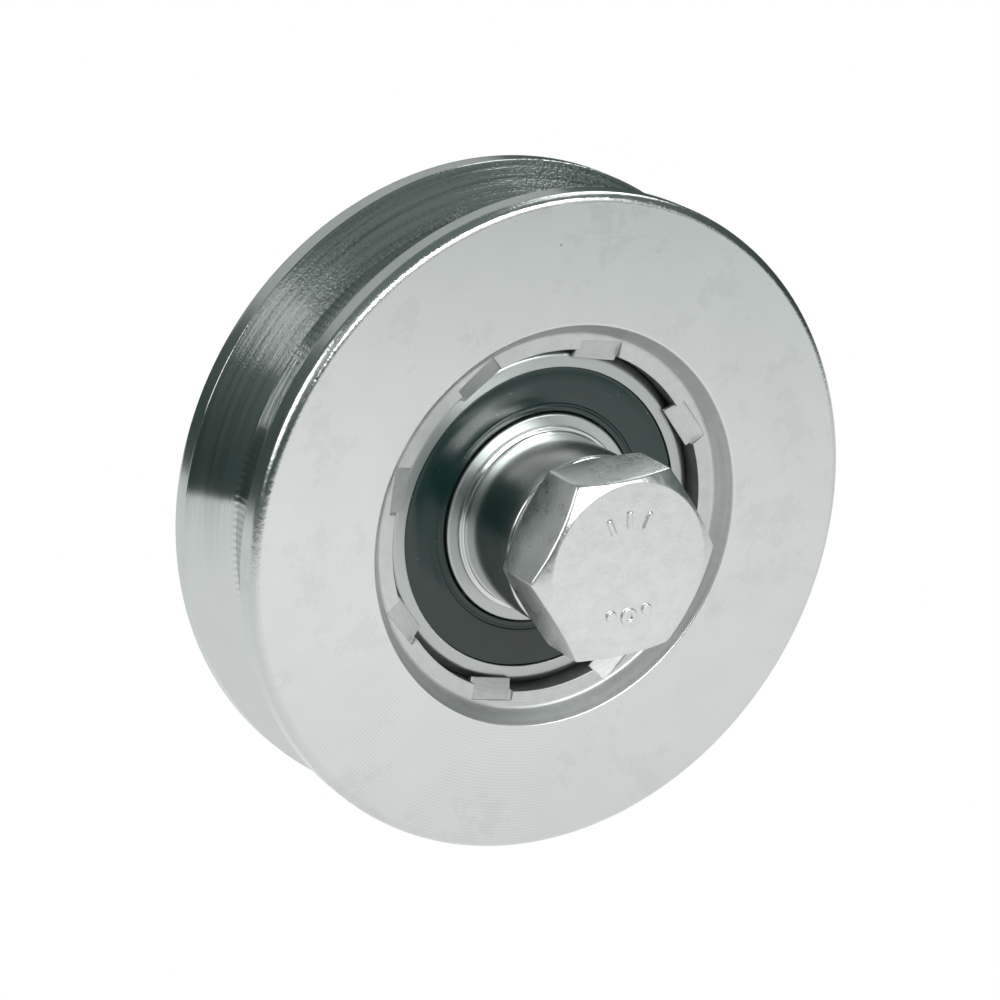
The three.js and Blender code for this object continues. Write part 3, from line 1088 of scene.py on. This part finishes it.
@dataclass
class Hexagon:
    """A forged hexagon with turned chamfers."""

    across_flats: float = 24.0 * MM
    face_share: float = 0.955
    chamfer: float = math.radians(30)
    edge: float = 0.28 * MM
    steps: int = 192

    def solid(self, low: float, high: float) -> bmesh.types.BMesh:
        """The hexagon between two places along the axle, its corners towards +X and -X.

        Args:
            low: Its end towards the bolt head.
            high: Its end towards the nut.

        Returns:
            The chamfered hexagon.
        """
        corner = self.across_flats / 2 / math.cos(math.radians(30))
        prism = bmesh.new()
        bmesh.ops.create_cone(
            prism, cap_ends=True, segments=6, radius1=corner, radius2=corner, depth=high - low,
            matrix=Matrix.Translation((0, (low + high) / 2, 0)) @ Matrix.Rotation(math.pi / 2, 4, "X"))
        bmesh.ops.rotate(
            prism, verts=prism.verts[:], cent=(0, 0, 0), matrix=round_the_axle(30).to_3x3())
        face = self.face_share * self.across_flats / 2
        rim = corner + 0.4 * MM
        drop = (rim - face) * math.tan(self.chamfer)
        envelope = turn([
            Corner(0, low), Corner(face, low, 0.15 * MM), Corner(rim, low + drop),
            Corner(rim, high - drop), Corner(face, high, 0.15 * MM), Corner(0, high),
        ], self.steps, closed=False)
        return cut(prism, [envelope], "INTERSECT")

    def eased(self, bm: bmesh.types.BMesh) -> bmesh.types.BMesh:
        """Rounds the sharp edges of a hexagon a little, as plating and handling do."""
        bmesh.ops.dissolve_limit(
            bm, angle_limit=math.radians(0.2), verts=bm.verts[:], edges=bm.edges[:])
        sharp = [e for e in bm.edges if e.is_manifold and e.calc_face_angle(0) > math.radians(24)]
        bmesh.ops.bevel(
            bm, geom=sharp, offset=self.edge, segments=4, profile=0.5, affect="EDGES",
            material=-1, clamp_overlap=True)
        return tidied(bm)


@dataclass
class Thread:
    """A right-hand metric thread."""

    radius: float
    pitch: float = 2.0 * MM
    depth: float = 1.1 * MM
    flat: float = 0.12 * MM
    steps: int = 72

    def solid(self, low: float, high: float) -> bmesh.types.BMesh:
        """The threaded length between two places along the axle, with closed ends."""
        root = self.radius - self.depth
        turns = math.ceil((high - low) / self.pitch) + 2
        shape = [(self.radius, 0.0), (self.radius, self.flat), (root, self.pitch / 2 - self.flat),
                 (root, self.pitch / 2 + self.flat), (self.radius, self.pitch - self.flat)]
        bm = bmesh.new()
        start = low - self.pitch
        verts = [
            bm.verts.new((radius, start + number * self.pitch + along, 0.0))
            for number in range(turns) for radius, along in shape]
        verts.append(bm.verts.new((self.radius, start + turns * self.pitch, 0.0)))
        for first, second in zip(verts, verts[1:]):
            bm.edges.new((first, second))
        bmesh.ops.spin(
            bm, geom=bm.verts[:] + bm.edges[:], cent=(0, 0, 0), axis=AXLE,
            dvec=(0, self.pitch / self.steps, 0), angle=FULL_TURN, steps=self.steps,
            use_merge=False, use_duplicate=False)
        bmesh.ops.remove_doubles(bm, verts=bm.verts[:], dist=MERGE)
        for place, outward in ((low, -1), (high, 1)):
            bmesh.ops.bisect_plane(
                bm, geom=bm.verts[:] + bm.edges[:] + bm.faces[:], plane_co=(0, place, 0),
                plane_no=(0, outward, 0), clear_outer=True)
        bmesh.ops.holes_fill(bm, edges=[e for e in bm.edges if e.is_boundary], sides=0)
        return tidied(bm)


@dataclass
class AxleSet:
    """The axle bolt with its bushes, washer and nut."""

    finishes: Finishes
    steps: int = 160
    head_height: float = 10.0 * MM
    thread_length: float = 38.0 * MM
    shank_radius: float = 8.0 * MM
    tip_chamfer: float = 1.2 * MM
    bore_gap: float = 0.3 * MM
    bush_foot: float = 0.65 * MM
    bush_foot_height: float = 0.4 * MM
    bush_edge: float = 0.4 * MM
    washer_edge: float = 0.25 * MM
    mark_height: float = 0.27 * MM
    mark_ring: float = 6.6 * MM
    nut_countersink: float = 0.7 * MM

    def bolt(self) -> bpy.types.Object:
        """Builds the bolt: chamfered head, plain shank and a true helical thread."""
        low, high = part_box("axle_bolt")
        seat = low.y + self.head_height
        thread_start = high.y - self.thread_length
        hexagon = Hexagon()
        face = low.y + self.mark_height
        head = hexagon.eased(hexagon.solid(face, seat))
        shank = turn([
            Corner(0, seat - self.head_height / 2),
            Corner(self.shank_radius, seat - self.head_height / 2),
            Corner(self.shank_radius, thread_start),
            Corner(self.shank_radius - 1.1 * MM, thread_start + 1.1 * MM),
            Corner(0, thread_start + 1.1 * MM),
        ], self.steps, closed=False)
        screw = Thread(self.shank_radius).solid(thread_start + 0.05 * MM, high.y)
        tip = turn([
            Corner(0, thread_start),
            Corner(self.shank_radius + 1 * MM, thread_start),
            Corner(self.shank_radius + 1 * MM, high.y - self.tip_chamfer - 1 * MM),
            Corner(self.shank_radius - self.tip_chamfer, high.y, 0.1 * MM),
            Corner(0, high.y),
        ], self.steps, closed=False)
        screw = cut(screw, [tip], "INTERSECT")
        bm = cut(head, [shank, screw, *self.marks(face)], "UNION")
        return Piece("bolt", "axle", "bolt_zinc", self.finishes.bolt).show(bm, "axle_bolt")

    def marks(self, face: float) -> list[bmesh.types.BMesh]:
        """Plain raised marks on the head: three bars above its middle, a ring and two pips below.

        Args:
            face: The place of the head's face along the axle.

        Returns:
            The marks.
        """
        made = []
        for degrees in (66, 90, 114):
            place = round_the_axle(degrees) @ Matrix.Translation((self.mark_ring, face, 0))
            size = Vector((1.25, self.mark_height / MM, 0.42)) * MM
            made.append(block(-size, size, self.mark_height, place))
        for degrees, hollow in ((246, 0.0), (270, 0.45), (294, 0.0)):
            place = round_the_axle(degrees) @ Matrix.Translation((self.mark_ring, face, 0))
            made.append(self.pip(hollow * MM, place))
        return made

    def pip(self, hollow: float, place: Matrix) -> bmesh.types.BMesh:
        """One round raised mark.

        Args:
            hollow: The radius of the hole in its middle, or 0 for a full pip.
            place: The place that it is moved to.

        Returns:
            The mark.
        """
        rim = hollow + 0.75 * MM
        ease = 0.6 * self.mark_height
        outline = [
            Corner(hollow, -self.mark_height, ease if hollow else 0.0), Corner(rim, -self.mark_height, ease),
            Corner(rim, self.mark_height), Corner(hollow, self.mark_height)]
        bm = turn(outline, 32, closed=hollow > 0)
        bmesh.ops.transform(bm, matrix=place, verts=bm.verts[:])
        return bm

    def bush(self, side: Side) -> bpy.types.Object:
        """Builds one stepped bush.

        Args:
            side: The end of the axle that it stands at.

        Returns:
            The bush.
        """
        place = "front" if side is Side.HEAD else "rear"
        node = f"bush_{place}"
        low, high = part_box(node)
        inner, outer = sorted((abs(low.y), abs(high.y)))
        foot = high.x
        body = foot - self.bush_foot
        bore = self.shank_radius + self.bore_gap
        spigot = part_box("bearing_inner_ring")[1].x and 9.97 * MM
        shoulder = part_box("bearing_outer_ring")[1].y + 0.05 * MM
        outline = [
            Corner(bore, inner, 0.15 * MM), Corner(spigot, inner, 0.25 * MM),
            Corner(spigot, shoulder),
            Corner(foot, shoulder, 0.1 * MM),
            Corner(foot, shoulder + self.bush_foot_height, 0.18 * MM),
            Corner(body, shoulder + self.bush_foot_height, 0.2 * MM),
            Corner(body, outer, self.bush_edge),
            Corner(bore, outer, 0.2 * MM),
        ]
        bm = turn([corner.at_end(side) for corner in outline], self.steps)
        return Piece(f"spacer_{place}", "axle", "bush_zinc", self.finishes.bush).show(bm, node)

    def washer(self) -> bpy.types.Object:
        """Builds the stamped washer, rounder at the edge that faced the punch."""
        low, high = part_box("washer")
        bore = self.shank_radius + self.bore_gap
        outline = [
            Corner(bore, low.y, self.washer_edge), Corner(high.x, low.y, self.washer_edge),
            Corner(high.x, high.y, 2 * self.washer_edge), Corner(bore, high.y, self.washer_edge)]
        bm = turn(outline, self.steps)
        return Piece("plain_washer", "axle", "washer_zinc", self.finishes.washer).show(bm, "washer")

    def nut(self) -> bpy.types.Object:
        """Builds the nut, chamfered at both ends and countersunk round its bore."""
        low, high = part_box("nut")
        bore = self.shank_radius + self.bore_gap
        sink = self.nut_countersink
        hexagon = Hexagon()
        through = turn([
            Corner(0, low.y - MM), Corner(bore + sink + MM, low.y - MM), Corner(bore, low.y + sink),
            Corner(bore, high.y - sink), Corner(bore + sink + MM, high.y + MM), Corner(0, high.y + MM),
        ], self.steps, closed=False)
        bm = hexagon.eased(cut(hexagon.solid(low.y, high.y), [through], "DIFFERENCE"))
        return Piece("hex_nut", "axle", "bolt_zinc", self.finishes.bolt).show(bm, "nut")

    def build(self) -> None:
        """Builds the bolt, both bushes, the washer and the nut."""
        self.bolt()
        self.bush(Side.HEAD)
        self.bush(Side.NUT)
        self.washer()
        self.nut()


# ---- Studio -----------------------------------------------------------------------------------


@dataclass(frozen=True)
class Lamp:
    """One soft rectangular light, aimed at the wheel.

    Attributes:
        name: The light's name.
        direction: Where it stands, seen from the wheel.
        distance: How far away it stands.
        width: Its width.
        height: Its height.
        brightness: The brightness of its face.
    """

    name: str
    direction: tuple[float, float, float]
    distance: float
    width: float
    height: float
    brightness: float

    def build(self) -> bpy.types.Object:
        """Hangs the light."""
        data = bpy.data.lights.new(self.name, "AREA")
        data.shape = "RECTANGLE"
        data.size = self.width
        data.size_y = self.height
        data.energy = self.brightness * math.pi * self.width * self.height
        lamp = bpy.data.objects.new(self.name, data)
        bpy.context.scene.collection.objects.link(lamp)
        outward = Vector(self.direction).normalized()
        lamp.location = outward * self.distance
        lamp.rotation_euler = outward.to_track_quat("Z", "Y").to_euler()
        lamp.visible_camera = False
        return lamp


@dataclass
class Studio:
    """A pale glowing floor under soft lights, with a dim room round them; in reflections the floor shows a
    painted pool of light.
    """

    floor_radius: float = 0.42
    floor_glow: float = 1.0
    floor_dim: float = 0.80
    floor_gain: float = 0.28
    floor_tint: tuple[float, float, float] = (0.955, 1.0, 0.985)
    painted_light_pool: tuple[float, float] = (4.0, -132.0)
    pool_radius: float = 140.0
    room_low: tuple[float, float, float] = (0.045, 0.068, 0.062)
    room_high: tuple[float, float, float] = (0.155, 0.195, 0.183)
    lamps: tuple[Lamp, ...] = (
        Lamp("front_softbox", (0.14, -0.83, 0.50), 0.85, 0.74, 0.20, 11.0),
        Lamp("front_card", (0.42, -0.88, 0.13), 0.85, 0.50, 0.34, 1.0),
        Lamp("front_left_fill", (-0.54, -0.58, 0.62), 0.85, 0.30, 0.30, 0.45),
        Lamp("left_softbox", (-0.90, 0.08, 0.52), 0.85, 0.66, 0.40, 3.2),
        Lamp("top_softbox", (0.48, 0.04, 0.88), 0.85, 0.26, 0.24, 1.6),
        Lamp("rear_softbox", (0.62, 0.42, 0.66), 0.85, 0.40, 0.30, 4.0),
        Lamp("back_card", (0.08, 0.85, 0.45), 0.85, 0.85, 0.40, 0.36),
    )

    def floor(self) -> bpy.types.Object:
        """Lays the floor that the wheel stands on: white to the camera, and in reflections a glowing,
        painted pool of light that fades to a dimmer, greener floor.
        """
        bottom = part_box("wheel_body")[0].z
        bm = bmesh.new()
        bmesh.ops.create_circle(bm, cap_ends=True, segments=128, radius=self.floor_radius)
        bmesh.ops.translate(bm, vec=(0, 0, bottom), verts=bm.verts[:])
        made = as_object(bm, "floor")
        board = Board.of_material("pale_floor")
        x, y, _ = board.place()
        # Painted pool of light, seen only in reflections: the floor glows brightest round a point in front
        # of the wheel and fades to floor_dim, tinted greener where dim.
        reach = ((x - self.painted_light_pool[0]) ** 2 + (y - self.painted_light_pool[1]) ** 2) / self.pool_radius ** 2
        painted_light_pool = self.floor_dim + self.floor_gain * (reach * -1).math("EXPONENT")
        seen = board.add("ShaderNodeLightPath", {}, {}, "Is Camera Ray")
        strength = seen * self.floor_glow + (1 - seen) * painted_light_pool
        colour = board.blend(painted_light_pool.above(self.floor_dim, 1.0), self.floor_tint, WHITE)
        surface = board.add("ShaderNodeEmission", {}, {
            "Color": board.blend(seen, colour, WHITE), "Strength": strength})
        board.add("ShaderNodeOutputMaterial", {}, {"Surface": surface})
        made.data.materials.append(board.owner)
        return made

    def surroundings(self) -> None:
        """Paints the room: white behind the wheel, dim where the metal mirrors it."""
        world = bpy.data.worlds.new("studio")
        bpy.context.scene.world = world
        board = Board(world)
        direction = board.add("ShaderNodeTexCoord", {}, {}, "Generated")
        split = board.add("ShaderNodeSeparateXYZ", {}, {"Vector": direction}).socket.node
        height = Wire(board, split.outputs["Z"]).above(0.0, 0.8)
        room = board.blend(height, self.room_low, self.room_high)
        seen = board.add("ShaderNodeLightPath", {}, {}, "Is Camera Ray")
        colour = board.blend(seen, room, WHITE)
        surface = board.add("ShaderNodeBackground", {}, {"Color": colour})
        board.add("ShaderNodeOutputWorld", {}, {"Surface": surface})

    def build(self) -> None:
        """Builds the floor, the room and the lights."""
        self.floor()
        self.surroundings()
        for lamp in self.lamps:
            lamp.build()
        view = bpy.context.scene.view_settings
        view.view_transform = "Standard"
        view.look = "None"


@dataclass(frozen=True)
class Viewpoint:
    """Where the camera stands and what it looks at."""

    azimuth: float = -30.69
    elevation: float = 20.07
    distance: float = 496.0 * MM
    aim: tuple[float, float, float] = (-1.57 * MM, 1.06 * MM, 0.30 * MM)
    lens: float = 133.8
    sensor: float = 36.0

    def build(self) -> bpy.types.Object:
        """Sets up the camera."""
        data = bpy.data.cameras.new("camera")
        data.lens = self.lens
        data.sensor_width = self.sensor
        data.clip_start = 0.01
        data.clip_end = 20.0
        camera = bpy.data.objects.new("camera", data)
        bpy.context.scene.collection.objects.link(camera)
        azimuth, elevation = math.radians(self.azimuth), math.radians(self.elevation)
        back = Vector((
            math.sin(azimuth) * math.cos(elevation),
            -math.cos(azimuth) * math.cos(elevation),
            math.sin(elevation)))
        camera.location = Vector(self.aim) + back * self.distance
        camera.rotation_euler = (-back).to_track_quat("-Z", "Y").to_euler()
        bpy.context.scene.camera = camera
        return camera


def main() -> None:
    """Builds the whole object and its studio."""
    logging.basicConfig(level=logging.INFO, format="%(name)s: %(message)s")
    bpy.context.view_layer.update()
    Viewpoint().build()
    finishes = Finishes()
    Wheel(finishes).build()
    Bearing(finishes).build()
    Cage(finishes).build()
    for side in Side:
        Seal(finishes, side).build()
    AxleSet(finishes).build()
    Studio().build()


if __name__ == "__main__":
    main()
